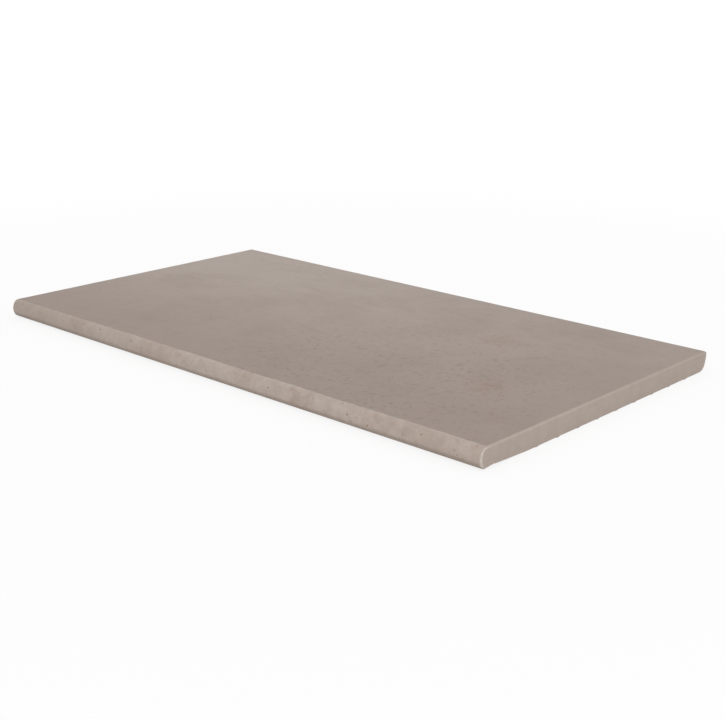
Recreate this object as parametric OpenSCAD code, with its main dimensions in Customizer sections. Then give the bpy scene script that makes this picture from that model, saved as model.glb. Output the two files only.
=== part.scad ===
// Pool coping stone: a pressed and fired slab with a bullnose over the whole height of its front,
// saw-cut ends, a drafted back edge and a keyed underside that beds in adhesive.
//
// Millimetres. X runs along the bullnose, -Y is the pool side, +Y the paving side, +Z up.
// The origin is under the middle of the stone, at the foot of the underside ribs.

/* [Stone] */
// Length of the stone along its bullnose
length = 600; // [300:10:900]
// Width from the front of the bullnose to the back edge
width = 330; // [250:5:450]
// Thickness from the foot of the underside ribs to the walking face
thickness = 18; // [16:0.5:30]

/* [Bullnose] */
// Height of the underside of the bullnose above the foot of the ribs
nose_lift = 0.5; // [0.3:0.1:2]
// Depth of the bullnose, from its front to where the walking face starts
nose_depth = 6.5; // [5:0.5:12]

/* [Drip groove] */
// Distance from the back of the bullnose to where the groove starts to rise
groove_start = 1; // [0.5:0.5:8]
// Distance from the back of the bullnose to the upright heel of the groove
groove_heel = 11; // [9:0.5:16]
// Distance from the back of the bullnose to where the underside is flat again
groove_end = 49.5; // [36:0.5:70]
// Depth of the groove above the underside of the bullnose
groove_depth = 2; // [1:0.1:3]
// Height of the upright heel, from the top of the groove down
groove_heel_h = 0.6; // [0.2:0.1:0.8]

/* [Ends] */
// Arris ground off the top of both ends, which runs out under the bullnose
end_arris = 1.6; // [0.6:0.1:3]

/* [Back edge] */
// Height of the upright band under the walking face
back_upright = 6; // [3:0.5:9]
// How far the drafted band below it leans in
back_draft = 2; // [0.5:0.25:3]
// Width of the bottom chamfer
chamfer_w = 3; // [1:0.2:5]
// Height of the bottom chamfer
chamfer_h = 3.2; // [1:0.2:4]
// Width of the flat toe that leads the chamfer into the underside
toe_w = 4; // [1:0.5:6]
// Height of the toe
toe_h = 1; // [0.4:0.1:1.6]
// Arris along the top of the back edge
back_arris = 0.8; // [0.3:0.1:1.5]

/* [Underside ribs] */
// Height of the ribs below the underside
rib_height = 0.5; // [0.3:0.1:0.5]
// Spacing of the ribs, both ways
rib_pitch = 28; // [18:1:50]
// Width of a rib at its foot
rib_foot_w = 3; // [2:0.5:6]
// How far each flank of a rib spreads at its root
rib_flare = 0.6; // [0.2:0.1:1.2]

/* [Hidden] */

front = -width / 2;
back = width / 2;

// The bullnose is a flat half ellipse over its whole height
nose_half_h = (thickness - nose_lift) / 2;
nose_y = front + nose_depth;
nose_z = nose_lift + nose_half_h;
nose_steps = 48;
// The arris is full along the top and round the front, and runs out over this angle underneath
arris_fade = 30;

// The underside between the ribs starts where the groove has run out
field_z = rib_height;
field_front = nose_y + groove_end;
groove_top = nose_lift + groove_depth;

// The back edge steps in from the upright band: draft, chamfer, toe
chamfer_top_y = back - back_draft;
chamfer_foot_y = chamfer_top_y - chamfer_w;
toe_y = chamfer_foot_y - toe_w;

// The ribs fill the flat of the underside in whole pitches, from half a pitch behind the groove
rib_root_w = rib_foot_w + 2 * rib_flare;
first_rib_y = field_front + rib_pitch / 2;
long_ribs = 1 + floor((toe_y - rib_root_w / 2 - first_rib_y) / rib_pitch);
cross_half = floor((length / 2 - rib_root_w / 2) / rib_pitch);
rib_root = 1;

// Stands an outline that is drawn as (Y, Z) along the middle of the stone
module along_stone(run) {
    rotate([90, 0, 90])
        linear_extrude(height = run, center = true)
            children();
}

// A point of the ellipse, by its angle: 90 is the top, 180 the front and 270 the underside
function nose_point(turn) = [nose_y + nose_depth * cos(turn), nose_z + nose_half_h * sin(turn)];

// The direction in which the ellipse faces there
function nose_facing(turn) =
    let (slope = [cos(turn) / nose_depth, sin(turn) / nose_half_h])
        slope / norm(slope);

// The share of the arris that is left there
function arris_share(turn) = min(1, (270 - turn) / arris_fade);

// Outline of the bullnose, cut back by an arris
module nose_outline(arris) {
    polygon([
        for (step = [0 : nose_steps])
            let (turn = 90 + 180 * step / nose_steps)
                nose_point(turn) - arris * arris_share(turn) * nose_facing(turn)
    ]);
}

// The bullnose at its full size, drawn out to the smaller outline of its two ends
module bullnose() {
    hull() {
        along_stone(length - 2 * end_arris) nose_outline(0);
        along_stone(length) nose_outline(end_arris);
    }
}

// Slab behind the bullnose: drip groove, level underside, toe, chamfer, draft, upright band
module slab_outline() {
    polygon([
        [nose_y, thickness],
        [nose_y, nose_lift],
        [nose_y + groove_start, nose_lift],
        [nose_y + groove_heel, groove_top],
        [nose_y + groove_heel, groove_top - groove_heel_h],
        [field_front, field_z],
        [toe_y, field_z],
        [chamfer_foot_y, field_z + toe_h],
        [chamfer_top_y, field_z + toe_h + chamfer_h],
        [back, thickness - back_upright],
        [back, thickness - back_arris],
        [back - back_arris, thickness]
    ]);
}

// Side view of the stone, with the arris off both top corners
module end_outline() {
    half = length / 2;
    polygon([
        [-half, 0],
        [half, 0],
        [half, thickness - end_arris],
        [half - end_arris, thickness],
        [end_arris - half, thickness],
        [-half, thickness - end_arris]
    ]);
}

module slab() {
    intersection() {
        along_stone(length) slab_outline();
        translate([0, back, 0])
            rotate([90, 0, 0])
                linear_extrude(height = back - nose_y)
                    end_outline();
    }
}

// Section of one rib, narrow at its foot and rooted in the slab
module rib_outline() {
    polygon([
        [-rib_foot_w / 2, 0],
        [rib_foot_w / 2, 0],
        [rib_root_w / 2, rib_height],
        [rib_root_w / 2, rib_height + rib_root],
        [-rib_root_w / 2, rib_height + rib_root],
        [-rib_root_w / 2, rib_height]
    ]);
}

// Pressed grid of ribs. The long ones run out at the sawn ends, the cross ones stop at
// the first and last long rib.
module key_ribs() {
    for (row = [0 : long_ribs - 1])
        translate([0, first_rib_y + row * rib_pitch, 0])
            along_stone(length) rib_outline();
    for (column = [-cross_half : cross_half])
        translate([column * rib_pitch, first_rib_y, 0])
            rotate([90, 0, 180])
                linear_extrude(height = (long_ribs - 1) * rib_pitch)
                    rib_outline();
}

module coping_stone() {
    color([0.63, 0.59, 0.55])
        union() {
            bullnose();
            slab();
            key_ribs();
        }
}

coping_stone();
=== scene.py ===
# %% [markdown]
# # A pool coping stone in porcelain stoneware
#
# The real piece is one slab, pressed from fine clay and fired hard. Its walking face has a
# printed stone look, its front is ground to a full bullnose for the pool, its ends are sawn,
# and its pressed underside has a grid of low ribs that key into the adhesive.
#
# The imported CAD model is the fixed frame. This lesson builds one visible piece inside it.

# %% Read the frame
import math
import random

import bmesh
import bpy
from mathutils import Matrix, Vector


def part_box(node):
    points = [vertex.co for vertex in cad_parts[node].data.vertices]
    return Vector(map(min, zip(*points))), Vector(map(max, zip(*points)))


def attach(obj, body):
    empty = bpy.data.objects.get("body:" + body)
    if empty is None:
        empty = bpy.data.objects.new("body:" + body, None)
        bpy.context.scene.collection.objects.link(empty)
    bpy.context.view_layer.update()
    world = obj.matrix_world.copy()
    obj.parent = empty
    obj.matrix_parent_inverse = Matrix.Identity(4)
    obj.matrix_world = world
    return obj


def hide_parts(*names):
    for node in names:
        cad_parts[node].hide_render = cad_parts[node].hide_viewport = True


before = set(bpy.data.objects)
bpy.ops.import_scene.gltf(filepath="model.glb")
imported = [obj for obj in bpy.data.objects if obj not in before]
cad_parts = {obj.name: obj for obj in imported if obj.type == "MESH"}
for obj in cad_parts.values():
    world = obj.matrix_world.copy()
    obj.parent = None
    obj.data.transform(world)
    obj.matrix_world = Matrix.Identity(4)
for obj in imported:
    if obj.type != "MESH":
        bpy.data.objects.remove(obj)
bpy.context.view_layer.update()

MM = 0.001
STONE_NODE = "coping_stone"
stone_low, stone_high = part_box(STONE_NODE)
LENGTH = stone_high.x - stone_low.x
HALF = LENGTH / 2
FRONT = stone_low.y
BACK = stone_high.y
TOP = stone_high.z
print("stone, mm:", [round(side / MM, 2) for side in stone_high - stone_low])

# %% [markdown]
# ## Small helpers for node trees
#
# A node tree can be wired by hand for each node, which takes three lines a node. One helper
# that adds a node, writes its plain values and links its sockets keeps a recipe short enough
# to read. The same helpers serve the shape's trees and the materials.

# %% Node helpers
def put(tree, kind, values=None, **settings):
    """Adds a node. A value that is a socket is linked, any other is written on the input."""
    node = tree.nodes.new(kind)
    for name, setting in settings.items():
        setattr(node, name, setting)
    for key, value in (values or {}).items():
        if isinstance(value, bpy.types.NodeSocket):
            tree.links.new(value, node.inputs[key])
        else:
            node.inputs[key].default_value = value
    return node


def calc(tree, operation, *values):
    """One step of arithmetic on numbers."""
    return put(tree, "ShaderNodeMath", dict(enumerate(values)), operation=operation).outputs[0]


def times(tree, first, *others):
    """The product of two or more numbers."""
    for other in others:
        first = calc(tree, "MULTIPLY", first, other)
    return first


def vector_calc(tree, operation, *values):
    """One step of arithmetic on vectors."""
    node = put(tree, "ShaderNodeVectorMath", dict(enumerate(values)), operation=operation)
    return node.outputs["Vector"]


def scaled(tree, vector, factor):
    """A vector made longer or shorter by a number."""
    node = put(tree, "ShaderNodeVectorMath", {"Vector": vector, "Scale": factor}, operation="SCALE")
    return node.outputs["Vector"]


def spread(tree, value, low, high, to_low=0.0, to_high=1.0, soft=True):
    """Maps low..high to another range, clamped, with soft or straight flanks."""
    numbers = {"Value": value, "From Min": low, "From Max": high, "To Min": to_low, "To Max": to_high}
    flanks = "SMOOTHSTEP" if soft else "LINEAR"
    return put(tree, "ShaderNodeMapRange", numbers, interpolation_type=flanks).outputs["Result"]


def random_push(tree, colour, reach):
    """A random colour turned into a push to any side."""
    return scaled(tree, vector_calc(tree, "SUBTRACT", colour, (0.5, 0.5, 0.5)), reach)


def between(tree, share, first, second):
    """A number between two others: 0 gives the first, 1 the second."""
    return put(tree, "ShaderNodeMix", {0: share, 2: first, 3: second}).outputs[0]


def noise(tree, where, size, seed, detail=2.0, roughness=0.5, distortion=0.0):
    """Soft random values from 0 to 1 with patches about as large as size, in metres."""
    values = {
        "Vector": where, "W": seed, "Scale": 1 / size, "Detail": detail,
        "Roughness": roughness, "Distortion": distortion,
    }
    return put(tree, "ShaderNodeTexNoise", values, noise_dimensions="4D").outputs[0]


def axes(tree, vector):
    """The three numbers of a vector."""
    return put(tree, "ShaderNodeSeparateXYZ", {"Vector": vector}).outputs


def join_axes(tree, x, y, z):
    """A vector from three numbers."""
    return put(tree, "ShaderNodeCombineXYZ", {"X": x, "Y": y, "Z": z}).outputs["Vector"]


# %% [markdown]
# A geometry tree gets named inputs, so that its sizes can be changed in Blender's modifier
# panel. The tree is run once and its result is kept as a plain mesh: a live modifier would
# work as well, but a plain mesh is what the other tools read.

# %% Geometry tree helpers
def new_tree(name, inputs):
    """A geometry tree with inputs named by kind, its input sockets and its output socket."""
    tree = bpy.data.node_groups.new(name, "GeometryNodeTree")
    for side in ("INPUT", "OUTPUT"):
        tree.interface.new_socket("Geometry", in_out=side, socket_type="NodeSocketGeometry")
    for kind, labels in inputs.items():
        for label in labels:
            tree.interface.new_socket(label, in_out="INPUT", socket_type="NodeSocket" + kind)
    given = tree.nodes.new("NodeGroupInput").outputs
    return tree, given, tree.nodes.new("NodeGroupOutput").inputs[0]


def geo(tree, kind, values=None, **settings):
    """Adds a geometry node, named without its prefix, and gives its first output."""
    return put(tree, "GeometryNode" + kind, values, **settings).outputs[0]


def run_tree(piece, tree, values):
    """Runs a geometry tree on a piece with these inputs and keeps the plain mesh."""
    modifier = piece.modifiers.new(tree.name, "NODES")
    modifier.node_group = tree
    for socket in tree.interface.items_tree:
        if socket.in_out == "INPUT" and socket.name in values:
            modifier[socket.identifier] = values[socket.name]
    seen = piece.evaluated_get(bpy.context.evaluated_depsgraph_get())
    mesh = bpy.data.meshes.new_from_object(seen)
    piece.modifiers.remove(modifier)
    piece.data = mesh
    print(tree.name, "made", len(mesh.polygons), "faces")


def add_object(name, data):
    """An object in the scene, at the origin."""
    thing = bpy.data.objects.new(name, data)
    bpy.context.scene.collection.objects.link(thing)
    return thing


def closed_volume(mesh):
    """The volume inside a mesh in cubic metres, and how many of its edges aren't closed."""
    shell = bmesh.new()
    shell.from_mesh(mesh)
    open_edges = sum(not edge.is_manifold for edge in shell.edges)
    volume = shell.calc_volume(signed=True)
    shell.free()
    return volume, open_edges


# %% [markdown]
# ## Colours
#
# A node's colour is linear light, while a colour given here is in screen values from 0 to
# 255. One small function turns the second into the first. All finishes of the stone are drawn
# from these few clay tones, since the printed face and the ground body are the same clay.

# %% Clay tones
def clay(red, green, blue):
    """A linear colour from screen values."""
    def linear(value):
        share = value / 255
        return share / 12.92 if share <= 0.04045 else ((share + 0.055) / 1.055) ** 2.4
    return (linear(red), linear(green), linear(blue), 1.0)


FACE = clay(160, 145, 136)
# painted sheen: the face's tone where it is made lighter towards the back-left
FACE_SHEEN = clay(178, 165, 156)
FACE_DEEP = clay(150, 135, 125)
BODY = clay(176, 162, 152)
BODY_PALE = clay(188, 174, 164)
BODY_DEEP = clay(160, 145, 134)
RUST = clay(150, 112, 88)
UMBER = clay(104, 88, 74)
DUST = clay(204, 195, 185)
# painted shade: the darker tone laid on the foot of the bullnose
NOSE_FOOT_SHADE = clay(122, 108, 97)
DIRT = clay(142, 118, 99)
DIRT_PALE = clay(156, 138, 124)


# %% [markdown]
# ## Building blocks for the stoneware
#
# Every finish below is layered from the same blocks: a tint laid over a colour by a mask,
# clouds for the mask, specks and stains. Specks could be a noise that is cut off high, but those
# come out as worms. Voronoi cells give one round speck each, and the cell's own random colour
# decides whether it has one, how large it is and how strong.

# %% Layers
def tint(tree, under, over, mask):
    """Lays one colour over another where the mask is 1."""
    node = put(tree, "ShaderNodeMix", data_type="RGBA")
    for index, value in ((0, mask), (6, under), (7, over)):
        if isinstance(value, bpy.types.NodeSocket):
            tree.links.new(value, node.inputs[index])
        else:
            node.inputs[index].default_value = value
    return node.outputs[2]


def veil(tree, under, over, value, low, high, strength=1.0):
    """Lays one colour over another, from nothing where a value is low to this strength."""
    return tint(tree, under, over, spread(tree, value, low, high, 0.0, strength))


def dab(tree, under, over, mask, strength):
    """Lays one colour over another by a mask, at this strength at most."""
    return tint(tree, under, over, times(tree, mask, strength))


def specks(tree, where, spacing, radius, share, seed, ragged=0.35):
    """Roundish grains: one in a cell of about this spacing, in the given share of the cells."""
    bent = put(tree, "ShaderNodeTexNoise", {"Vector": where, "W": seed, "Scale": 1.6 / spacing},
               noise_dimensions="4D").outputs["Color"]
    place = vector_calc(tree, "ADD", where, random_push(tree, bent, ragged * spacing))
    place = vector_calc(tree, "ADD", place, (seed * 0.137, seed * 0.071, 0.0))
    cells = put(tree, "ShaderNodeTexVoronoi", {"Vector": place, "Scale": 1 / spacing})
    drawn, size, strength = axes(tree, cells.outputs["Color"])
    reach = spread(tree, size, 0.0, 1.0, 0.45 * radius / spacing, radius / spacing, soft=False)
    inside = spread(tree, calc(tree, "DIVIDE", cells.outputs["Distance"], reach), 1.0, 0.2)
    present = calc(tree, "LESS_THAN", drawn, share)
    depth = spread(tree, strength, 0.0, 1.0, 0.45, 1.0, soft=False)
    return times(tree, inside, present, depth)


def strewn(tree, colour, where, sorts):
    """Strews specks: each sort has its tone, spacing and radius in mm, share, seed and strength."""
    for tone, spacing, radius, share, seed, strength in sorts:
        grains = specks(tree, where, spacing * MM, radius * MM, share, seed)
        colour = dab(tree, colour, tone, grains, strength)
    return colour


def near(tree, where, centre, reach):
    """1 at a place on the stone, fading to 0 at this distance from it."""
    gap = put(tree, "ShaderNodeVectorMath", {0: where, 1: centre}, operation="DISTANCE")
    return spread(tree, gap.outputs["Value"], reach, 0.0)


def stained(tree, colour, where, places, broken, strength):
    """Lays rust round these places, each a centre and a reach, broken up by a mask."""
    for centre, reach in places:
        rusty = times(tree, near(tree, where, centre, reach), broken)
        colour = dab(tree, colour, RUST, rusty, strength)
    return colour


def new_material(name):
    """A material with its tree, its object coordinates and its shader."""
    material = bpy.data.materials.new(name)
    material.use_nodes = True
    tree = material.node_tree
    shader = next(node for node in tree.nodes if node.type == "BSDF_PRINCIPLED")
    where = tree.nodes.new("ShaderNodeTexCoord").outputs["Object"]
    return material, tree, shader, where


def finish_shader(tree, shader, colour, roughness, height):
    """Joins a colour, a roughness and a height in metres to the shader."""
    bump = put(tree, "ShaderNodeBump", {"Height": height, "Distance": 1.0})
    for name, socket in (("Base Color", colour), ("Roughness", roughness), ("Normal", bump.outputs[0])):
        tree.links.new(socket, shader.inputs[name])


# %% [markdown]
# ## The walking face and the bullnose
#
# The face is pressed with a fine grain and printed with soft clouds and faint streaks. Brown
# flecks and specks gather right of the middle, and two places there are rusty. The face also
# gets a painted sheen that makes it lighter towards its back-left. Grinding the bullnose takes
# that skin off, so the nose shows the paler body with its own small rusty and brown grains.
# Painted shade darkens the nose towards its foot, where the curve turns under, and towards its
# left end. The edge between the two finishes is crisp but wanders a little, as the grinding wheel
# meets a face that isn't quite flat.
#
# Two materials split along an edge of the mesh would give a dead straight border. One
# material with a mask gives the wandering one, so both finishes are mixed in one tree.

# %% Sizes of the section that the finishes need
UNDER_NOSE = 0.5 * MM
NOSE_DEPTH = 6.5 * MM
NOSE_HALF = (TOP - UNDER_NOSE) / 2
NOSE_Y = FRONT + NOSE_DEPTH
NOSE_Z = UNDER_NOSE + NOSE_HALF
BORDER_Y = FRONT + 7.4 * MM
BORDER_ASKEW = 0.8 * MM
BORDER_SWAY = 0.6 * MM
BORDER_NIBBLE = 0.5 * MM
BORDER_BLUR = 0.3 * MM

# %% The walking face's colour
CROWD_PLACE = (0.13, -0.09, TOP)
CROWD_REACH = 0.25
RUSTY_PLACES = (((0.147, 0.065, TOP), 0.026), ((0.217, -0.050, TOP), 0.024))


def face_colour(tree, where):
    """Printed stone look with a painted sheen to the back-left, faint clouds and streaks, brown flecks
    and rusty places.
    """
    x, y, z = axes(tree, where)
    # painted sheen: the face is made lighter towards its back-left, where a grazing reflection would
    # light it
    sheen_to_left = spread(tree, x, 0.35, -0.30, 0.25, 1.0)
    sheen_to_back = spread(tree, y, -0.16, 0.11)
    colour = dab(tree, FACE, FACE_SHEEN, sheen_to_left, sheen_to_back)
    clouds = noise(tree, where, 70 * MM, 3.1, detail=3.0, roughness=0.5, distortion=0.4)
    colour = veil(tree, colour, FACE_DEEP, clouds, 0.42, 0.70, 0.30)
    drawn = vector_calc(tree, "MULTIPLY", where, (0.22, 1.0, 1.0))
    streaks = noise(tree, drawn, 9 * MM, 2.2, detail=3.0, roughness=0.55, distortion=0.8)
    colour = veil(tree, colour, FACE_DEEP, streaks, 0.52, 0.72, 0.22)
    grain = noise(tree, where, 1.5 * MM, 5.5, detail=2.0, roughness=0.6)
    colour = veil(tree, colour, BODY_PALE, grain, 0.55, 0.80, 0.14)
    crowd = near(tree, where, CROWD_PLACE, CROWD_REACH)
    flecks = noise(tree, where, 4.5 * MM, 8.4, detail=3.0, roughness=0.65)
    crowded = spread(tree, crowd, 0.0, 0.8, 0.10, 0.32)
    colour = dab(tree, colour, UMBER, spread(tree, flecks, 0.52, 0.70), crowded)
    broken = spread(tree, flecks, 0.40, 0.60, 0.25, 1.0)
    colour = stained(tree, colour, where, RUSTY_PLACES, broken, 0.30)
    clumps = spread(tree, noise(tree, where, 24 * MM, 4.9, detail=1.0), 0.38, 0.62, 0.15, 1.0)
    share = times(tree, clumps, spread(tree, crowd, 0.0, 0.8, 0.22, 0.80))
    return strewn(tree, colour, where, (
        (UMBER, 8, 2.1, share, 1.7, 0.22),
        (UMBER, 4, 1.4, share, 6.3, 0.18),
        (DUST, 13, 1.1, 0.35, 9.9, 0.14),
    ))


# %% The bullnose's colour
# where the painted shade on the nose's foot starts and where it is full
NOSE_FOOT_SHADE_FROM = 7.4 * MM
NOSE_FOOT_SHADE_FULL = 4 * MM
RUSTY_STRETCHES = (((0.114, FRONT, 0.009), 0.024), ((0.194, FRONT, 0.009), 0.028))


def nose_colour(tree, where):
    """Ground body: mottled, painted shade at its foot and left end, grains, rust, faint upright streaks.
    """
    x, y, z = axes(tree, where)
    mottle = noise(tree, where, 8 * MM, 4.6, detail=4.0, roughness=0.6)
    colour = veil(tree, BODY, BODY_PALE, mottle, 0.34, 0.66, 0.95)
    # painted shade: the nose is made darker towards its left end
    colour = veil(tree, colour, BODY_DEEP, x, 0.0, -0.28, 0.45)
    # painted shade: the nose is made darker towards its foot, where the curve turns under
    colour = veil(tree, colour, NOSE_FOOT_SHADE, z, NOSE_FOOT_SHADE_FROM, NOSE_FOOT_SHADE_FULL, 0.42)
    upright = vector_calc(tree, "MULTIPLY", where, (1.0, 0.12, 0.12))
    streaks = noise(tree, upright, 3 * MM, 7.7, detail=2.0, roughness=0.5)
    colour = veil(tree, colour, BODY_DEEP, streaks, 0.50, 0.75, 0.20)
    stretch = noise(tree, where, 55 * MM, 1.4)
    colour = veil(tree, colour, RUST, stretch, 0.50, 0.65, 0.12)
    broken = spread(tree, mottle, 0.30, 0.65, 1.0, 0.3)
    colour = stained(tree, colour, where, RUSTY_STRETCHES, broken, 0.24)
    share = spread(tree, stretch, 0.45, 0.65, 0.15, 0.50)
    return strewn(tree, colour, where, (
        (DUST, 5, 1.5, 0.5, 8.2, 0.30),
        (RUST, 6, 2.2, share, 3.3, 0.42),
        (UMBER, 3.5, 1.2, share, 12.1, 0.26),
    ))


# %% The face and nose material
MATT_SHEEN = 0.3
PRESSED_GRAIN = 0.07 * MM
GROUND_GRAIN = 0.018 * MM


def face_and_nose():
    """The pressed face and the ground nose, split by a wandering border."""
    material, tree, shader, where = new_material("stoneware_face_and_nose")
    x, y, z = axes(tree, where)
    askew = spread(tree, x, -HALF, HALF, -BORDER_ASKEW, BORDER_ASKEW, soft=False)
    broad = noise(tree, where, 60 * MM, 4.4, detail=1.0)
    close = noise(tree, where, 9 * MM, 5.1, detail=3.0)
    sway = spread(tree, broad, 0.3, 0.7, -BORDER_SWAY, BORDER_SWAY)
    nibble = spread(tree, close, 0.3, 0.7, -BORDER_NIBBLE, BORDER_NIBBLE)
    border = calc(tree, "ADD", calc(tree, "ADD", sway, nibble), calc(tree, "ADD", askew, BORDER_Y))
    on_face = spread(tree, calc(tree, "SUBTRACT", y, border), -BORDER_BLUR, BORDER_BLUR)
    colour = tint(tree, nose_colour(tree, where), face_colour(tree, where), on_face)
    shine = noise(tree, where, 18 * MM, 2.8, detail=3.0)
    face_shine = spread(tree, shine, 0.3, 0.7, 0.66, 0.74)
    nose_shine = spread(tree, shine, 0.3, 0.7, 0.50, 0.58)
    roughness = between(tree, on_face, nose_shine, face_shine)
    pressed = times(tree, noise(tree, where, 2.2 * MM, 1.9, detail=4.0, roughness=0.65), PRESSED_GRAIN)
    ground = times(tree, noise(tree, where, 0.8 * MM, 6.6, detail=3.0), GROUND_GRAIN)
    height = between(tree, on_face, ground, pressed)
    shader.inputs["Specular IOR Level"].default_value = MATT_SHEEN
    finish_shader(tree, shader, colour, roughness, height)
    return material


# %% [markdown]
# ## The sawn ends and their arris
#
# A saw leaves the end even and matt, with very faint marks of the blade. The arris is ground
# off by hand afterwards and catches the light as a thin line all along the end. Round the nose
# the stone is bruised more, so the line is palest there, and it fades towards the back.
# Both are one material: the angle of the surface tells them apart, because an end faces
# squarely along the stone and an arris doesn't.

# %% The end material
BRUISE_END_Y = NOSE_Y + 7 * MM
BRUISE_FULL_Y = NOSE_Y - 4 * MM
PALE_REACH = 0.9 * MM
PALE_END = 1.2 * MM
BLADE_MARKS = 0.02 * MM
SAWN_GRAIN = 0.02 * MM


def sawn_ends():
    """Even sawn body, with a bruised, paler arris that is palest round the nose."""
    material, tree, shader, where = new_material("stoneware_sawn_end")
    mottle = noise(tree, where, 8 * MM, 2.4, detail=4.0, roughness=0.6)
    colour = veil(tree, BODY_DEEP, BODY_PALE, mottle, 0.2, 0.8)
    colour = tint(tree, colour, BODY, 0.65)
    colour = strewn(tree, colour, where, [(BODY_DEEP, 1.8, 0.45, 0.5, 4.4, 0.4)])
    facing = axes(tree, tree.nodes.new("ShaderNodeNewGeometry").outputs["True Normal"])[0]
    square = spread(tree, calc(tree, "ABSOLUTE", facing), 0.90, 0.97)
    bruise = noise(tree, where, 3 * MM, 8.8, detail=3.0)
    x, y, z = axes(tree, where)
    at_nose = spread(tree, y, BRUISE_END_Y, BRUISE_FULL_Y)
    along_end = spread(tree, y, BACK, NOSE_Y, 0.03, 0.24, soft=False)
    from_end = calc(tree, "SUBTRACT", HALF, calc(tree, "ABSOLUTE", x))
    outer = spread(tree, from_end, PALE_END, PALE_REACH)
    bruised = times(tree, spread(tree, bruise, 0.35, 0.60, 0.6, 1.0), outer)
    upper = spread(tree, z, 1 * MM, 7 * MM, 0.55, 1.0)
    pale = times(tree, calc(tree, "MAXIMUM", at_nose, along_end), bruised, upper)
    light = tint(tree, colour, DUST, pale)
    colour = tint(tree, light, colour, square)
    blade = vector_calc(tree, "MULTIPLY", where, (0.0, 1.0, 0.06))
    marks = times(tree, noise(tree, blade, 0.9 * MM, 3.9, detail=2.0), BLADE_MARKS)
    tooth = times(tree, noise(tree, where, 0.5 * MM, 1.2, detail=3.0), SAWN_GRAIN)
    roughness = spread(tree, mottle, 0.2, 0.8, 0.68, 0.80)
    finish_shader(tree, shader, colour, roughness, calc(tree, "ADD", marks, tooth))
    return material


# %% [markdown]
# ## The pressed underside and back edge
#
# The lower die leaves a grainy, matt surface. In the kiln a pale wash keeps the slab from
# sticking to the rollers, and it stays on the feet of the ribs and in patches between them.
# The height above the ground tells a rib's foot from the panel, so the wash needs no mesh of
# its own.

# %% The underside material
FOOT_TOP = 0.25 * MM
WASH_TOP = 4 * MM
GRIT_HEIGHT = 0.14 * MM


def pressed_underside():
    """Grainy pressed clay with kiln wash on the rib feet."""
    material, tree, shader, where = new_material("stoneware_pressed_back")
    mottle = noise(tree, where, 14 * MM, 6.1, detail=5.0, roughness=0.6)
    colour = veil(tree, BODY_DEEP, BODY, mottle, 0.3, 0.7)
    z = axes(tree, where)[2]
    foot = spread(tree, z, FOOT_TOP, 0.05 * MM)
    rubbed = spread(tree, noise(tree, where, 5 * MM, 1.1, detail=4.0), 0.35, 0.60, 0.15, 0.8)
    colour = dab(tree, colour, DUST, foot, rubbed)
    wash = noise(tree, where, 70 * MM, 9.3, detail=5.0, roughness=0.65)
    low = spread(tree, z, WASH_TOP, WASH_TOP / 2)
    colour = dab(tree, colour, DUST, spread(tree, wash, 0.48, 0.7, 0.0, 0.45), low)
    colour = strewn(tree, colour, where, [(UMBER, 4, 0.9, 0.3, 2.9, 0.35)])
    grit = times(tree, noise(tree, where, 1.2 * MM, 7.2, detail=4.0, roughness=0.7), GRIT_HEIGHT)
    finish_shader(tree, shader, colour, spread(tree, mottle, 0.3, 0.7, 0.78, 0.9), grit)
    return material


# %% [markdown]
# ## Pits and chips
#
# Small pits in the face and nose hold a little brown dirt, while the chips along the arris are
# fresh pale clay. Each is a real hollow in the mesh, so each needs only a simple lining.

# %% Lining materials
LINING_GRAIN = 0.03 * MM


def lining(name, deep, pale, size, rough):
    """Mottled lining of a small hollow."""
    material, tree, shader, where = new_material(name)
    mottle = noise(tree, where, size, 4.3, detail=3.0, roughness=0.6)
    colour = veil(tree, deep, pale, mottle, 0.35, 0.65)
    height = times(tree, mottle, LINING_GRAIN)
    finish_shader(tree, shader, colour, spread(tree, mottle, 0.3, 0.7, rough, rough + 0.1), height)
    return material


FACE_AND_NOSE = face_and_nose()
SAWN_END = sawn_ends()
PRESSED_BACK = pressed_underside()
PIT_LINING = lining("stoneware_pit_lining", DIRT, DIRT_PALE, 0.7 * MM, 0.8)
CHIP_LINING = lining("stoneware_fresh_chip", BODY, BODY_PALE, 1.2 * MM, 0.75)
print("materials:", [material.name for material in bpy.data.materials])

# %% [markdown]
# ## The section of the stone
#
# Cut across its length, the stone is the same everywhere: a bullnose that is a flat half ellipse,
# a level face, a back edge that leans in as a pressing die needs, ribs, and a shallow drip
# groove with an upright heel. A box with bevels can't give that back edge or the groove. So the
# section is drawn as one closed line and swept along the stone.
#
# The line is drawn twice with the same number of points: once at full size, and once as the
# end face shows it. There it is cut back by the arris along the top, round the bullnose and
# under it as far as the groove, and softened a little elsewhere. The step from one to the other
# is what each point has to move at the ends.

# %% Sizes of the section
END_ARRIS = 1.6 * MM
END_SOFT = 0.2 * MM
BACK_UPRIGHT = 6 * MM
BACK_DRAFT = 2 * MM
BACK_ARRIS = 0.8 * MM
CHAMFER_W = 3 * MM
CHAMFER_H = 3.2 * MM
TOE_W = 4 * MM
TOE_H = 1 * MM
GROOVE_START = 1 * MM
GROOVE_HEEL = 11 * MM
GROOVE_END = 49.5 * MM
GROOVE_DEPTH = 2 * MM
GROOVE_HEEL_H = 0.6 * MM
RIB_HEIGHT = 0.5 * MM
RIB_PITCH = 28 * MM
RIB_FOOT = 3 * MM
RIB_FLARE = 0.6 * MM
BACK_ROUND = 0.5 * MM
DRAFT_ROUND = 1.5 * MM
TOE_ROUND = 0.8 * MM
RIB_ROUND = 0.25 * MM
FIELD_ROUND = 2 * MM
HEEL_ROUND = 0.12 * MM
GROOVE_ROUND = 3 * MM
FACE_STRIPS = 108
NOSE_STEPS = 48

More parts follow.
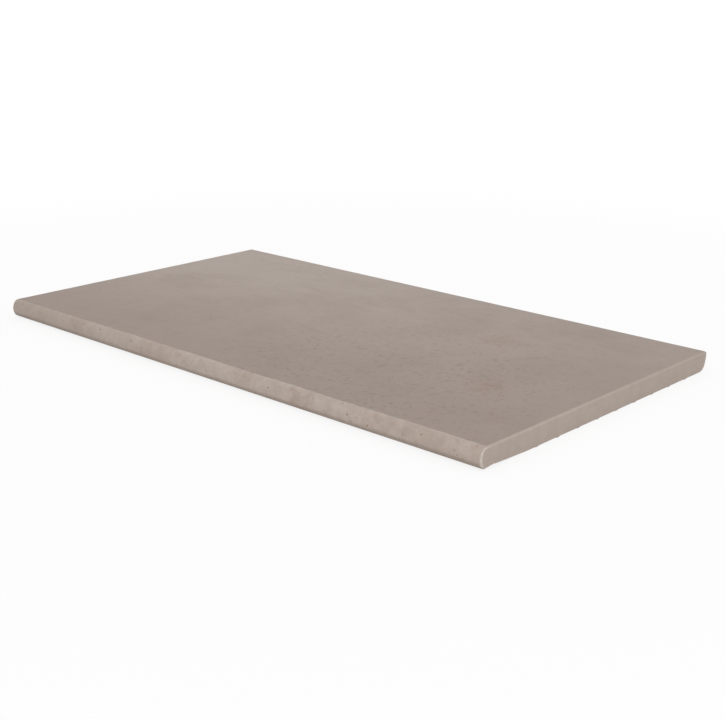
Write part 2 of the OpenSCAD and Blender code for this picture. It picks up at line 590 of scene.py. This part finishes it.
FIELD_FRONT = NOSE_Y + GROOVE_END
CHAMFER_TOP_Y = BACK - BACK_DRAFT
CHAMFER_FOOT_Y = CHAMFER_TOP_Y - CHAMFER_W
TOE_Y = CHAMFER_FOOT_Y - TOE_W
RIB_ROOT = RIB_FOOT + 2 * RIB_FLARE
FIRST_RIB_Y = FIELD_FRONT + RIB_PITCH / 2
LONG_RIBS = 1 + math.floor((TOE_Y - RIB_ROOT / 2 - FIRST_RIB_Y) / RIB_PITCH)
LAST_RIB_Y = FIRST_RIB_Y + (LONG_RIBS - 1) * RIB_PITCH
print("long ribs:", LONG_RIBS, "from y", round(FIRST_RIB_Y / MM, 2), "to", round(LAST_RIB_Y / MM, 2))


# %% Drawing tools for the section
def eased(before, corner, after, radius, steps=2):
    """Points that round one corner of a line."""
    to_before = (before - corner).normalized()
    to_after = (after - corner).normalized()
    cut = radius / math.tan(to_before.angle(to_after) / 2)
    start, stop = corner + cut * to_before, corner + cut * to_after
    points = []
    for step in range(steps + 1):
        share = step / steps
        first, second = start.lerp(corner, share), corner.lerp(stop, share)
        points.append(first.lerp(second, share))
    return points


def line_points(corners):
    """A line through corners given as (y, z, radius); the first and last are left as they are."""
    spots = [Vector(corner[:2]) for corner in corners]
    points = [spots[0]]
    for index in range(1, len(corners) - 1):
        points += eased(spots[index - 1], spots[index], spots[index + 1], corners[index][2])
    return points + [spots[-1]]


def nose_point(turn):
    """A point of the bullnose and its facing, by angle: 90 is the top, 180 the front."""
    across, up = math.cos(math.radians(turn)), math.sin(math.radians(turn))
    place = Vector((NOSE_Y + NOSE_DEPTH * across, NOSE_Z + NOSE_HALF * up))
    return place, Vector((across / NOSE_DEPTH, up / NOSE_HALF)).normalized()


def outline(arris, soft):
    """The whole section as (y, z) points, cut back by an arris from the back to the groove."""
    top, back, field = TOP - arris, BACK - soft, RIB_HEIGHT + soft
    face_end = back - BACK_ARRIS
    points = []
    for strip in range(FACE_STRIPS):
        points.append(Vector((NOSE_Y + (face_end - NOSE_Y) * strip / FACE_STRIPS, top)))
    corners = [
        (face_end - BACK_ROUND, top, 0),
        (face_end, top, BACK_ROUND),
        (back, top - BACK_ARRIS, BACK_ROUND),
        (back, TOP - BACK_UPRIGHT, DRAFT_ROUND),
        (CHAMFER_TOP_Y - soft, field + TOE_H + CHAMFER_H, TOE_ROUND),
        (CHAMFER_FOOT_Y - soft, field + TOE_H, TOE_ROUND),
        (TOE_Y, field, TOE_ROUND),
    ]
    rib_corners = ((1, RIB_ROOT, field), (1, RIB_FOOT, soft), (-1, RIB_FOOT, soft), (-1, RIB_ROOT, field))
    for rib in reversed(range(LONG_RIBS)):
        rib_y = FIRST_RIB_Y + rib * RIB_PITCH
        for side, width, height in rib_corners:
            corners.append((rib_y + side * width / 2, height, RIB_ROUND))
    heel_y = NOSE_Y + GROOVE_HEEL
    groove_top = UNDER_NOSE + GROOVE_DEPTH + soft
    nose_foot = UNDER_NOSE + max(arris, soft)
    corners += [
        (FIELD_FRONT, field, FIELD_ROUND),
        (heel_y, groove_top - GROOVE_HEEL_H, HEEL_ROUND),
        (heel_y, groove_top, HEEL_ROUND),
        (NOSE_Y + GROOVE_START, nose_foot, GROOVE_ROUND),
        (NOSE_Y, nose_foot, 0),
    ]
    points += line_points(corners)
    for step in range(1, NOSE_STEPS):
        place, out = nose_point(270 - 180 * step / NOSE_STEPS)
        points.append(place - arris * out)
    return points


full_line = outline(0, 0)
end_line = outline(END_ARRIS, END_SOFT)
print("section points:", len(full_line), len(end_line))


# %% The section as a wire with its moves stored on it
def store(mesh, name, kind, values):
    """Writes one value for each point of a mesh."""
    layer = mesh.attributes.new(name, kind, "POINT")
    flat = [number for value in values for number in value] if kind == "FLOAT_VECTOR" else values
    layer.data.foreach_set("vector" if kind == "FLOAT_VECTOR" else "value", flat)


def section_wire():
    """The section as a closed wire. Each point carries its move at the ends and its reach."""
    count = len(full_line)
    mesh = bpy.data.meshes.new("stone_section")
    order = list(reversed(range(count)))
    mesh.from_pydata(
        [(-full_line[i].x, -full_line[i].y, 0) for i in order],
        [(i, (i + 1) % count) for i in range(count)],
        [],
    )
    moves, reaches = [], []
    for i in order:
        move = end_line[i] - full_line[i]
        along = full_line[(i + 1) % count] - full_line[i - 1]
        inward = Vector((along.y, -along.x)).normalized()
        moves.append((0, move.x, move.y))
        reaches.append(max(abs(move.dot(inward)), END_SOFT))
    store(mesh, "move", "FLOAT_VECTOR", moves)
    store(mesh, "reach", "FLOAT", reaches)
    return mesh


slab = add_object("coping_slab", section_wire())

# %% [markdown]
# ## Sweeping the section
#
# The tree lays stations along the stone, close together within the arris at each end and
# evenly between, and sweeps the section through them. Then it shapes what isn't straight: the
# arris, with a slightly worn, wavy profile, and the gentle unevenness of a fired face. The
# face only ever goes down from its true plane, so the stone stays inside its CAD box.

# %% The sweep tree
def sweep_tree():
    """Geometry tree that turns the section wire into the stone's body."""
    tree, given, result = new_tree("sweep_section", {
        "Int": ("Arris rows", "Middle rows"),
        "Float": ("Length", "Arris", "Worn", "Waviness", "Face height", "Unevenness"),
        "Material": ("Finish",),
    })
    half = times(tree, given["Length"], 0.5)
    last = calc(tree, "ADD", given["Arris rows"], given["Middle rows"])
    rows = calc(tree, "ADD", last, given["Arris rows"])
    index = geo(tree, "InputIndex")
    middle = calc(tree, "SUBTRACT", given["Length"], times(tree, given["Arris"], 2.0))
    x = times(tree, half, -1.0)
    for start, stop, travel in (
        (0.0, given["Arris rows"], given["Arris"]),
        (given["Arris rows"], last, middle),
        (last, rows, given["Arris"]),
    ):
        x = calc(tree, "ADD", x, spread(tree, index, start, stop, 0.0, travel, soft=False))
    stations = geo(tree, "MeshLine", {"Count": calc(tree, "ADD", rows, 1.0)})
    placed = geo(tree, "SetPosition", {"Geometry": stations, "Position": join_axes(tree, x, 0.0, 0.0)})
    path = geo(tree, "MeshToCurve", {"Mesh": placed})
    profile = geo(tree, "MeshToCurve", {"Mesh": given["Geometry"]})
    swept = geo(tree, "CurveToMesh", {"Curve": path, "Profile Curve": profile, "Fill Caps": True})
    shaped = arris_steps(tree, given, swept, half)
    uneven = face_steps(tree, given, shaped)
    smooth = geo(tree, "SetShadeSmooth", {"Geometry": uneven})
    tree.links.new(finished(tree, smooth, given["Finish"]), result)
    return tree


def finished(tree, shape, material, zone=True):
    """Makes instances real and gives a zone its material."""
    real = geo(tree, "RealizeInstances", {"Geometry": shape})
    return geo(tree, "SetMaterial", {"Geometry": real, "Selection": zone, "Material": material})


def stored(tree, name, kind):
    """An attribute that the points or faces of a shape carry."""
    return geo(tree, "InputNamedAttribute", {"Name": name}, data_type=kind)


ROW_SLACK = 1.001


def arris_steps(tree, given, stone, half):
    """Shapes the rows near both ends into a worn arris."""
    where = geo(tree, "InputPosition")
    x, y, z = axes(tree, where)
    from_end = calc(tree, "SUBTRACT", half, calc(tree, "ABSOLUTE", x))
    share = spread(tree, from_end, 0.0, given["Arris"], soft=False)
    rest = calc(tree, "SUBTRACT", 1.0, share)
    turn = times(tree, rest, math.pi / 2)
    wear = given["Worn"]
    round_out = calc(tree, "SUBTRACT", 1.0, calc(tree, "SINE", turn))
    out = between(tree, wear, share, round_out)
    round_in = calc(tree, "SUBTRACT", 1.0, calc(tree, "COSINE", turn))
    inward = between(tree, wear, rest, round_in)
    wave = spread(tree, noise(tree, where, 14 * MM, 6.2, detail=2.0), 0.25, 0.75, -1.0, 1.0)
    width = calc(tree, "ADD", 1.0, times(tree, wave, given["Waviness"]))
    reach = times(tree, stored(tree, "reach", "FLOAT"), times(tree, width, out))
    new_x = times(tree, calc(tree, "SIGN", x), calc(tree, "SUBTRACT", half, reach))
    move = scaled(tree, stored(tree, "move", "FLOAT_VECTOR"), times(tree, width, inward))
    place = vector_calc(tree, "ADD", join_axes(tree, new_x, y, z), move)
    near_end = calc(tree, "LESS_THAN", from_end, times(tree, given["Arris"], ROW_SLACK))
    return geo(tree, "SetPosition", {"Geometry": stone, "Selection": near_end, "Position": place})


def face_steps(tree, given, stone):
    """Lets the walking face dip a little below its plane."""
    where = geo(tree, "InputPosition")
    x, y, z = axes(tree, where)
    level_place = join_axes(tree, x, y, 0.0)
    broad = spread(tree, noise(tree, level_place, 34 * MM, 2.6, detail=1.0), 0.25, 0.75, 0.0, 0.6)
    close = spread(tree, noise(tree, level_place, 12 * MM, 9.1, detail=1.0), 0.25, 0.75, 0.0, 0.4)
    dip = calc(tree, "ADD", broad, close)
    level = calc(tree, "SUBTRACT", given["Face height"], times(tree, dip, given["Unevenness"]))
    place = join_axes(tree, x, y, calc(tree, "MINIMUM", z, level))
    return geo(tree, "SetPosition", {"Geometry": stone, "Position": place})


# %% Sweep the stone
ARRIS_ROWS = 4
MIDDLE_ROWS = 198
run_tree(slab, sweep_tree(), {
    "Length": LENGTH, "Arris": END_ARRIS, "Arris rows": ARRIS_ROWS, "Middle rows": MIDDLE_ROWS,
    "Worn": 0.2, "Waviness": 0.14, "Face height": TOP, "Unevenness": 0.12 * MM,
    "Finish": FACE_AND_NOSE,
})
print("swept body, volume and open edges:", closed_volume(slab.data))

# %% [markdown]
# ## The cross ribs
#
# The long ribs came with the section. The cross ribs repeat at the same spacing along the
# stone, so one short bar is made and laid out as instances. They could be left standing
# inside the slab, but a union makes one closed skin, which is what a solid stone has.

# %% The cross rib tree
def cross_rib_tree():
    """Geometry tree that adds evenly spaced bars under the stone."""
    tree, given, result = new_tree("cross_ribs", {
        "Int": ("Count",),
        "Float": (
            "Pitch", "First y", "Last y", "Foot width", "Root width", "Bar height", "Foot level",
            "Rounding",
        ),
        "Material": ("Finish",),
    })
    section = geo(tree, "CurvePrimitiveQuadrilateral", {
        "Height": given["Bar height"], "Top Width": given["Foot width"],
        "Bottom Width": given["Root width"], "Offset": 0.0}, mode="TRAPEZOID")
    rounded = geo(tree, "FilletCurve", {
        "Curve": section, "Radius": given["Rounding"], "Count": 2}, mode="POLY")
    run = geo(tree, "CurvePrimitiveLine", {
        "Start": join_axes(tree, 0.0, given["First y"], 0.0),
        "End": join_axes(tree, 0.0, given["Last y"], 0.0)})
    bar = geo(tree, "CurveToMesh", {"Curve": run, "Profile Curve": rounded, "Fill Caps": True})
    span = times(tree, given["Pitch"], calc(tree, "SUBTRACT", given["Count"], 1.0))
    level = calc(tree, "ADD", given["Foot level"], times(tree, given["Bar height"], 0.5))
    row = geo(tree, "MeshLine", {
        "Count": given["Count"],
        "Start Location": join_axes(tree, times(tree, span, -0.5), 0.0, level),
        "Offset": join_axes(tree, given["Pitch"], 0.0, 0.0)})
    bars = geo(tree, "InstanceOnPoints", {"Points": row, "Instance": bar})
    real = geo(tree, "RealizeInstances", {"Geometry": bars})
    union = put(tree, "GeometryNodeMeshBoolean", {1: real}, operation="UNION", solver="MANIFOLD")
    tree.links.new(given["Geometry"], union.inputs[1])
    tree.links.new(finished(tree, union.outputs[0], given["Finish"]), result)
    return tree


# %% Add the cross ribs
CROSS_HALF = math.floor((HALF - RIB_ROOT / 2) / RIB_PITCH)
ROOTED = 0.5 * MM
BAR_HEIGHT = RIB_HEIGHT + ROOTED
run_tree(slab, cross_rib_tree(), {
    "Count": 2 * CROSS_HALF + 1, "Pitch": RIB_PITCH, "First y": FIRST_RIB_Y, "Last y": LAST_RIB_Y,
    "Foot width": RIB_FOOT, "Root width": RIB_FOOT + 2 * RIB_FLARE * BAR_HEIGHT / RIB_HEIGHT,
    "Bar height": BAR_HEIGHT, "Foot level": 0.03 * MM, "Rounding": 0.2 * MM, "Finish": FACE_AND_NOSE,
})
print("with cross ribs, volume and open edges:", closed_volume(slab.data))

# %% [markdown]
# ## Pits and chips
#
# The face has few open pits, the nose has more, and the arris has lost small chips here and
# there. Painting them would leave the mesh smooth, so each is cut by a small, squashed and
# roughened ball. A Poisson scatter keeps the balls apart, because a cut works best when its
# tools don't overlap, and a noise lets them gather as they do on the real stone. The few pits
# that stand out to the eye are set one by one. A ball that ends up wholly under the skin would
# leave a closed bubble, so whatever isn't part of the main skin is dropped after the cut.

# %% Marks that are set one by one
# each pit on the face: x, y and size in mm
FACE_PITS = [
    (-99.9, -72.1, 1.1), (65.5, -71.4, 0.9), (-237.3, -18.7, 0.8), (-221.9, 14.6, 0.8),
    (-161.3, -111.3, 0.6), (-179, 50, 0.8), (189.1, -144.5, 1.0), (157.1, -143.9, 0.9),
    (195.4, -127.2, 1.0), (227.4, -134.9, 0.8), (183.9, -38.9, 0.7), (86.6, 121.7, 0.7),
]
# each pit on the bullnose: x in mm, angle in degrees and size in mm
NOSE_PITS = [
    (-154.2, 134.5, 0.8), (-106, 144.5, 0.9), (-88.1, 161.5, 0.6), (-61.5, 138.5, 0.7), (-29.5, 162, 0.6),
    (78, 158, 0.9), (104.1, 125.5, 0.6), (129, 138, 0.6), (159.4, 110, 0.7), (168.1, 166, 1.1),
    (189.9, 189, 1.0), (242.9, 146.5, 0.8), (278.2, 190.5, 0.7),
]
CHIP_SEED = 12
CHIPS_PER_END = 12
# smallest and largest chip in mm
CHIP_SIZES = (0.35, 0.9)


def face_marks():
    """Pits on the walking face: place, facing and size."""
    return [(Vector((x, y, TOP / MM)) * MM, Vector((0, 0, 1)), size * MM) for x, y, size in FACE_PITS]


def nose_marks():
    """Pits on the bullnose, placed by the angle round it."""
    marks = []
    for x, turn, size in NOSE_PITS:
        place, out = nose_point(turn)
        marks.append((Vector((x * MM, *place)), Vector((0, *out)), size * MM))
    return marks


def chip_marks():
    """Small chips, at random along the arris of both ends."""
    draw = random.Random(CHIP_SEED)
    marks = []
    for side in (-1, 1):
        out = Vector((side, 0, 1)).normalized()
        spacing = (BACK - NOSE_Y) / CHIPS_PER_END
        for number in range(CHIPS_PER_END):
            y = NOSE_Y + spacing * (number + draw.uniform(0.2, 0.8))
            inset, drop = (END_ARRIS, 0) if draw.random() < 0.5 else (0, END_ARRIS)
            edge = Vector((side * (HALF - inset), y, TOP - drop))
            marks.append((edge, out, draw.uniform(*CHIP_SIZES) * MM))
    return marks


def mark_points(name, marks):
    """Points that carry the facing and the size of a mark."""
    mesh = bpy.data.meshes.new(name)
    mesh.from_pydata([place for place, out, size in marks], [], [])
    store(mesh, "facing", "FLOAT_VECTOR", [out for place, out, size in marks])
    store(mesh, "size", "FLOAT", [size for place, out, size in marks])
    return add_object(name, mesh)


pit_marks = mark_points("set_pits", face_marks() + nose_marks())
chip_points = mark_points("set_chips", chip_marks())
print("set pits:", len(pit_marks.data.vertices), "chips:", len(chip_points.data.vertices))


# %% The pit tree
HOLLOW = "hollow"
PIT = 1
CHIP = 2
BORDER_MARGIN = 3 * MM
NOSE_MARGIN = 1 * MM
RIM_MARGIN = 5 * MM
PIT_GAP = 4 * MM
LEVEL_FACING = 0.95
SPIN_SEED = 5
SLIM_SEED = 6
SLIMMEST = 0.55
ROUGH_SIZE = 1.1 * MM


def pit_tree():
    """Geometry tree that cuts scattered and set pits and chips into the stone."""
    tree, given, result = new_tree("cut_pits", {
        "Object": ("Set pits", "Set chips"),
        "Int": ("Seed",),
        "Float": (
            "Border", "Front height", "Face spacing", "Face density", "Nose spacing",
            "Nose density", "Smallest", "Largest", "Depth", "Raggedness", "Fewest points",
        ),
        "Material": ("Finish",),
    })
    stone = given["Geometry"]
    where = geo(tree, "InputPosition")
    x, y, z = axes(tree, where)
    facing = axes(tree, geo(tree, "InputNormal"))
    inland = calc(tree, "GREATER_THAN", y, calc(tree, "ADD", given["Border"], BORDER_MARGIN))
    short_of_back = calc(tree, "LESS_THAN", y, BACK - RIM_MARGIN)
    clear_of_ends = calc(tree, "LESS_THAN", calc(tree, "ABSOLUTE", x), HALF - RIM_MARGIN)
    faces_up = calc(tree, "GREATER_THAN", facing[2], LEVEL_FACING)
    on_face = times(tree, inland, short_of_back, clear_of_ends, faces_up)
    in_front = calc(tree, "LESS_THAN", y, calc(tree, "SUBTRACT", given["Border"], NOSE_MARGIN))
    above_foot = calc(tree, "GREATER_THAN", z, given["Front height"])
    on_nose = times(tree, in_front, clear_of_ends, above_foot)
    crowd = spread(tree, noise(tree, where, 55 * MM, 3.7, detail=1.0), 0.40, 0.62)
    set_pits, set_chips = (
        put(tree, "GeometryNodeObjectInfo", {"Object": given[name]}).outputs["Geometry"]
        for name in ("Set pits", "Set chips"))
    set_size = stored(tree, "size", "FLOAT")
    set_turn = put(tree, "FunctionNodeAlignRotationToVector", {
        "Vector": stored(tree, "facing", "FLOAT_VECTOR")}, axis="Z").outputs[0]
    cutters = [ball_steps(tree, given, set_pits, set_turn, set_size, PIT)]
    for zone, spacing, density, offset in (
        (on_face, "Face spacing", "Face density", 0), (on_nose, "Nose spacing", "Nose density", 1),
    ):
        scatter = put(tree, "GeometryNodeDistributePointsOnFaces", {
            "Mesh": stone, "Selection": zone, "Distance Min": given[spacing],
            "Density Max": given[density], "Density Factor": crowd,
            "Seed": calc(tree, "ADD", given["Seed"], float(offset))}, distribute_method="POISSON")
        gap = put(tree, "GeometryNodeProximity", {0: set_pits}, target_element="POINTS")
        crowded = calc(tree, "LESS_THAN", gap.outputs["Distance"], PIT_GAP)
        kept = geo(tree, "DeleteGeometry", {
            "Geometry": scatter.outputs["Points"], "Selection": crowded}, domain="POINT")
        size = random_number(tree, given["Smallest"], given["Largest"], given["Seed"])
        cutters.append(ball_steps(tree, given, kept, scatter.outputs["Rotation"], size, PIT))
    cutters.append(ball_steps(tree, given, set_chips, set_turn, set_size, CHIP))
    tools = tree.nodes.new("GeometryNodeJoinGeometry")
    for cutter in cutters:
        tree.links.new(cutter, tools.inputs[0])
    cut = put(tree, "GeometryNodeMeshBoolean", {0: stone}, operation="DIFFERENCE", solver="MANIFOLD")
    tree.links.new(tools.outputs[0], cut.inputs[1])
    skin = main_skin(tree, cut.outputs[0], given["Fewest points"])
    tree.links.new(finished(tree, skin, given["Finish"]), result)
    return tree


def main_skin(tree, stone, fewest):
    """Drops the bubbles and slivers that a cut leaves apart from the stone's skin."""
    island = tree.nodes.new("GeometryNodeInputMeshIsland").outputs["Island Index"]
    points = put(tree, "GeometryNodeAccumulateField", {"Value": 1.0, "Group ID": island},
                 data_type="FLOAT", domain="POINT").outputs["Total"]
    stray = calc(tree, "LESS_THAN", points, fewest)
    return geo(tree, "DeleteGeometry", {"Geometry": stone, "Selection": stray}, domain="POINT")


def random_number(tree, low, high, seed):
    """A random number from low to high for each point."""
    numbers = {2: low, 3: high, "Seed": seed}
    return put(tree, "FunctionNodeRandomValue", numbers, data_type="FLOAT").outputs[1]


def ball_steps(tree, given, points, rotation, size, hollow):
    """Squashed, roughened balls at these points, each face marked with the kind of hollow."""
    spin = random_number(tree, 0.0, math.tau, SPIN_SEED)
    turned = put(tree, "FunctionNodeAxisAngleToRotation", {"Axis": (0, 0, 1), "Angle": spin})
    rotation = put(tree, "FunctionNodeRotateRotation", {0: rotation, 1: turned.outputs[0]},
                   rotation_space="LOCAL").outputs[0]
    width = times(tree, size, random_number(tree, SLIMMEST, 1.0, SLIM_SEED))
    scale = join_axes(tree, size, width, times(tree, size, given["Depth"]))
    ball = geo(tree, "MeshIcoSphere", {"Radius": 1.0, "Subdivisions": 2})
    balls = geo(tree, "InstanceOnPoints", {
        "Points": points, "Instance": ball, "Rotation": rotation, "Scale": scale})
    real = geo(tree, "RealizeInstances", {"Geometry": balls})
    where = geo(tree, "InputPosition")
    rough = put(tree, "ShaderNodeTexNoise", {"Vector": where, "Scale": 1 / ROUGH_SIZE, "Detail": 1.0})
    push = random_push(tree, rough.outputs["Color"], given["Raggedness"])
    ragged = geo(tree, "SetPosition", {"Geometry": real, "Offset": push})
    marked = {"Geometry": ragged, "Name": HOLLOW, "Value": hollow}
    return geo(tree, "StoreNamedAttribute", marked, data_type="INT", domain="FACE")


# %% Cut the pits and chips
run_tree(slab, pit_tree(), {
    "Set pits": pit_marks, "Set chips": chip_points, "Seed": 7, "Border": NOSE_Y, "Front height": 5 * MM,
    "Face spacing": 7 * MM, "Face density": 1100.0, "Nose spacing": 6 * MM, "Nose density": 5000.0,
    "Smallest": 0.25 * MM, "Largest": 0.55 * MM, "Depth": 0.35, "Raggedness": 0.5 * MM,
    "Fewest points": 500.0, "Finish": FACE_AND_NOSE,
})
for holder in (pit_marks, chip_points):
    bpy.data.objects.remove(holder)
print("with pits, volume and open edges:", closed_volume(slab.data))

# %% [markdown]
# ## Which finish goes where
#
# The finishes could be painted on face by face in Edit Mode. A rule is surer: what faces along
# the stone is an end or its arris, what lies behind the bullnose and doesn't face up is
# pressed back, the hollows carry their own mark from the cut, and all the rest is face or nose.

# %% The zone tree
DOWN_FACING = 0.4
END_FACING = 0.3


def zone_tree():
    """Geometry tree that gives each zone of the stone its finish."""
    tree, given, result = new_tree("finish_zones", {
        "Float": ("Border",),
        "Material": ("Face", "Back", "End", "Pit", "Chip"),
    })
    facing = axes(tree, geo(tree, "InputNormal"))
    y = axes(tree, geo(tree, "InputPosition"))[1]
    beyond = calc(tree, "GREATER_THAN", y, given["Border"])
    turned_down = calc(tree, "LESS_THAN", facing[2], DOWN_FACING)
    hollow = stored(tree, HOLLOW, "INT")
    shape = given["Geometry"]
    for name, zone in (
        ("Face", True),
        ("Back", times(tree, beyond, turned_down)),
        ("End", calc(tree, "GREATER_THAN", calc(tree, "ABSOLUTE", facing[0]), END_FACING)),
        ("Pit", calc(tree, "COMPARE", hollow, float(PIT), 0.1)),
        ("Chip", calc(tree, "COMPARE", hollow, float(CHIP), 0.1)),
    ):
        shape = finished(tree, shape, given[name], zone)
    tree.links.new(shape, result)
    return tree


# %% Give the zones their finish
run_tree(slab, zone_tree(), {
    "Border": NOSE_Y + GROOVE_START, "Face": FACE_AND_NOSE, "End": SAWN_END, "Back": PRESSED_BACK,
    "Pit": PIT_LINING, "Chip": CHIP_LINING,
})

# %% [markdown]
# ## Crisp edges, soft curves
#
# Smooth shading everywhere would smear light round the arris, and flat shading would show the
# strips of the nose. So the mesh is smooth, and only edges that turn by more than a set angle
# are marked sharp.

# %% Shading and clean-up
SHARP_TURN = math.radians(31)
slab.data.shade_smooth()
slab.data.set_sharp_from_angle(angle=SHARP_TURN)
for name in ("move", "reach", "facing", "size", HOLLOW):
    if name in slab.data.attributes:
        slab.data.attributes.remove(slab.data.attributes[name])
slab.data.calc_loop_triangles()
print("triangles:", len(slab.data.loop_triangles))
print("finishes:", [finish.name for finish in slab.data.materials])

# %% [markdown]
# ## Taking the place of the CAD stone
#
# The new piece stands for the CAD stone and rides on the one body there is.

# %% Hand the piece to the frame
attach(slab, "root")
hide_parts(STONE_NODE)

# %% [markdown]
# ## Floor and backdrop
#
# The stone is shown on a white studio floor. The camera sees the floor as white as lit paper,
# while the light that it throws back up is that of a pale grey floor, so the stone's lower edges
# stay readable. A faint shadow is kept close to the stone, and further out the sheet turns into
# a plain white backdrop.

# %% The floor
FLOOR_SIDE = 60.0
NEAR_FLOOR = 0.45
FAR_FLOOR = 1.0
FLOOR_SEEN = (0.98, 0.98, 0.98, 1)
FLOOR_BOUNCE = (0.86, 0.86, 0.86, 1)
PAPER_GLOW = 0.84


def seen_by_eye(tree):
    """1 for rays that come from the camera, a reflection or through glass."""
    rays = tree.nodes.new("ShaderNodeLightPath").outputs
    seen = calc(tree, "MAXIMUM", rays["Is Camera Ray"], rays["Is Glossy Ray"])
    return calc(tree, "MAXIMUM", seen, rays["Is Transmission Ray"])


def floor_material():
    """Matt studio white."""
    material = bpy.data.materials.new("studio_floor")
    material.use_nodes = True
    tree = material.node_tree
    tree.nodes.clear()
    seen = seen_by_eye(tree)
    paper = put(tree, "ShaderNodeBsdfDiffuse", {"Color": tint(tree, FLOOR_BOUNCE, FLOOR_SEEN, seen)})
    backdrop = put(tree, "ShaderNodeEmission", {"Color": (1, 1, 1, 1), "Strength": 1.0})
    where = tree.nodes.new("ShaderNodeTexCoord").outputs["Object"]
    away = put(tree, "ShaderNodeVectorMath", {0: where}, operation="LENGTH").outputs["Value"]
    far = times(tree, spread(tree, away, NEAR_FLOOR, FAR_FLOOR, PAPER_GLOW, 1.0), seen)
    sheet = put(tree, "ShaderNodeMixShader", {0: far, 1: paper.outputs[0], 2: backdrop.outputs[0]})
    put(tree, "ShaderNodeOutputMaterial", {"Surface": sheet.outputs[0]})
    return material


def make_floor():
    """One large sheet under the stone."""
    reach = FLOOR_SIDE / 2
    mesh = bpy.data.meshes.new("studio_floor")
    corners = [(-reach, -reach, 0), (reach, -reach, 0), (reach, reach, 0), (-reach, reach, 0)]
    mesh.from_pydata(corners, [], [(0, 1, 2, 3)])
    mesh.materials.append(floor_material())
    return add_object("studio_floor", mesh)


make_floor()

# %% [markdown]
# ## Light
#
# The photograph was lit very softly: the top, the front and the end differ little in tone, and
# there is hardly a shadow. A bright room gives most of that. A wide panel above and one behind
# the camera, a little to its right, add the rest, so that the end is no darker than the nose.

# %% The room and the panels
ROOM_LIGHT = 0.80
OVERHEAD_WATTS = 2.0
OVERHEAD_SIDE = 1.6
CAMERA_PANEL_WATTS = 7.0
CAMERA_PANEL_SIDE = 1.2
MIDDLE = (0, 0, 0)


def light_room():
    """Even white surroundings, seen as white and lighting at a lower level."""
    world = bpy.data.worlds.new("studio_room")
    world.use_nodes = True
    tree = world.node_tree
    tree.nodes.clear()
    strength = spread(tree, seen_by_eye(tree), 0.0, 1.0, ROOM_LIGHT, 1.0, soft=False)
    room = put(tree, "ShaderNodeBackground", {"Color": (1, 1, 1, 1), "Strength": strength})
    put(tree, "ShaderNodeOutputWorld", {"Surface": room.outputs[0]})
    bpy.context.scene.world = world


def add_panel(name, place, aim, side, watts):
    """A square lamp that points at a place."""
    lamp = bpy.data.lights.new(name, "AREA")
    lamp.shape = "SQUARE"
    lamp.size = side
    lamp.energy = watts
    panel = add_object(name, lamp)
    panel.location = place
    panel.rotation_euler = (Vector(aim) - Vector(place)).to_track_quat("-Z", "Y").to_euler()


light_room()
add_panel("overhead_panel", (-0.2, 0.2, 1.8), MIDDLE, OVERHEAD_SIDE, OVERHEAD_WATTS)
add_panel("side_panel", (1.5, -1.3, 0.45), MIDDLE, CAMERA_PANEL_SIDE, CAMERA_PANEL_WATTS)

# %% [markdown]
# ## Camera
#
# The camera was fitted to the stone's outline in the photograph: it stands low, in front of
# the right end, and looks across the face. A small roll levels the picture as it was taken.

# %% The camera
AZIMUTH = math.radians(42.503)
ELEVATION = math.radians(17.546)
ROLL = math.radians(0.392)
DISTANCE = 1171.595 * MM
TARGET = Vector((58.605, -27.839, 0.5)) * MM
LENS = 63.542
SENSOR = 36.0


def add_camera():
    """A camera that looks at the target from an azimuth and an elevation."""
    back = Vector((
        math.sin(AZIMUTH) * math.cos(ELEVATION),
        -math.cos(AZIMUTH) * math.cos(ELEVATION),
        math.sin(ELEVATION),
    ))
    right = Vector((0, 0, 1)).cross(back).normalized()
    up = back.cross(right)
    tilted_right = math.cos(ROLL) * right + math.sin(ROLL) * up
    tilted_up = math.cos(ROLL) * up - math.sin(ROLL) * right
    lens = bpy.data.cameras.new("photo_camera")
    lens.lens = LENS
    lens.sensor_width = SENSOR
    camera = add_object("photo_camera", lens)
    turn = Matrix((tilted_right, tilted_up, back)).transposed().to_4x4()
    camera.matrix_world = Matrix.Translation(TARGET + DISTANCE * back) @ turn
    bpy.context.scene.camera = camera
    print("camera at", [round(value, 4) for value in camera.location])


add_camera()
bpy.context.scene.view_settings.view_transform = "Standard"
